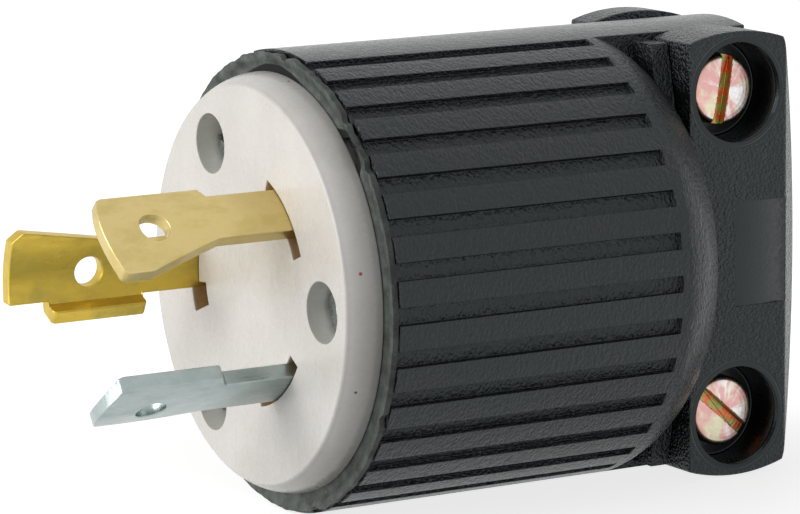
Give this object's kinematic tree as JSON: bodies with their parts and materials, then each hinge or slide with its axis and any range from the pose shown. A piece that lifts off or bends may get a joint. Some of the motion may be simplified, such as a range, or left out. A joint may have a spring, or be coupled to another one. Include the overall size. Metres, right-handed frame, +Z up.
{
  "type": "locking power plug",
  "caption": "Grounding locking power plug: curved blades in a light round face, fluted black shell, and a screwed cord clamp across the back.",
  "frame": {"origin": "centre of the mating face, on the plug's axis", "axes": "+X runs back along the plug to the cord end, the heads of the clamp screws face -Y, +Z is up through the upper clamp screw"},
  "size_m": [0.0817, 0.047, 0.0473],
  "materials": {
    "face_light": "satin",
    "seal_rubber": "matt",
    "shell_black": "fine pebbled grain, glossy",
    "block_dark": "matt",
    "blade_brass": "bright, drawn",
    "blade_plated": "bluish plating",
    "plate_brass": "plain",
    "screw_brass": "plain",
    "screw_silver": "zinc plated",
    "screw_green": "green dyed plating",
    "screw_yellow_zinc": "yellow passivated zinc"
  },
  "bodies": {
    "root": {"face_body": "face_light", "dust_seal": "seal_rubber", "shell": "shell_black", "terminal_block": "block_dark", "blade_line": "blade_brass", "blade_neutral": "blade_plated", "blade_ground": "blade_brass", "terminal_clamp_line": "plate_brass", "terminal_clamp_neutral": "plate_brass", "terminal_clamp_ground": "plate_brass", "terminal_screw_line": "screw_brass", "terminal_screw_neutral": "screw_silver", "terminal_screw_ground": "screw_green", "assembly_screw_1": "screw_silver", "assembly_screw_2": "screw_silver", "assembly_screw_3": "screw_silver", "threaded_insert_1": "plate_brass", "threaded_insert_2": "plate_brass", "threaded_insert_3": "plate_brass", "clamp_jaw_near": "shell_black", "clamp_jaw_far": "shell_black", "clamp_screw_upper": "screw_yellow_zinc", "clamp_screw_lower": "screw_yellow_zinc", "clamp_nut_upper": "screw_yellow_zinc", "clamp_nut_lower": "screw_yellow_zinc"}
  },
  "joints": []
}
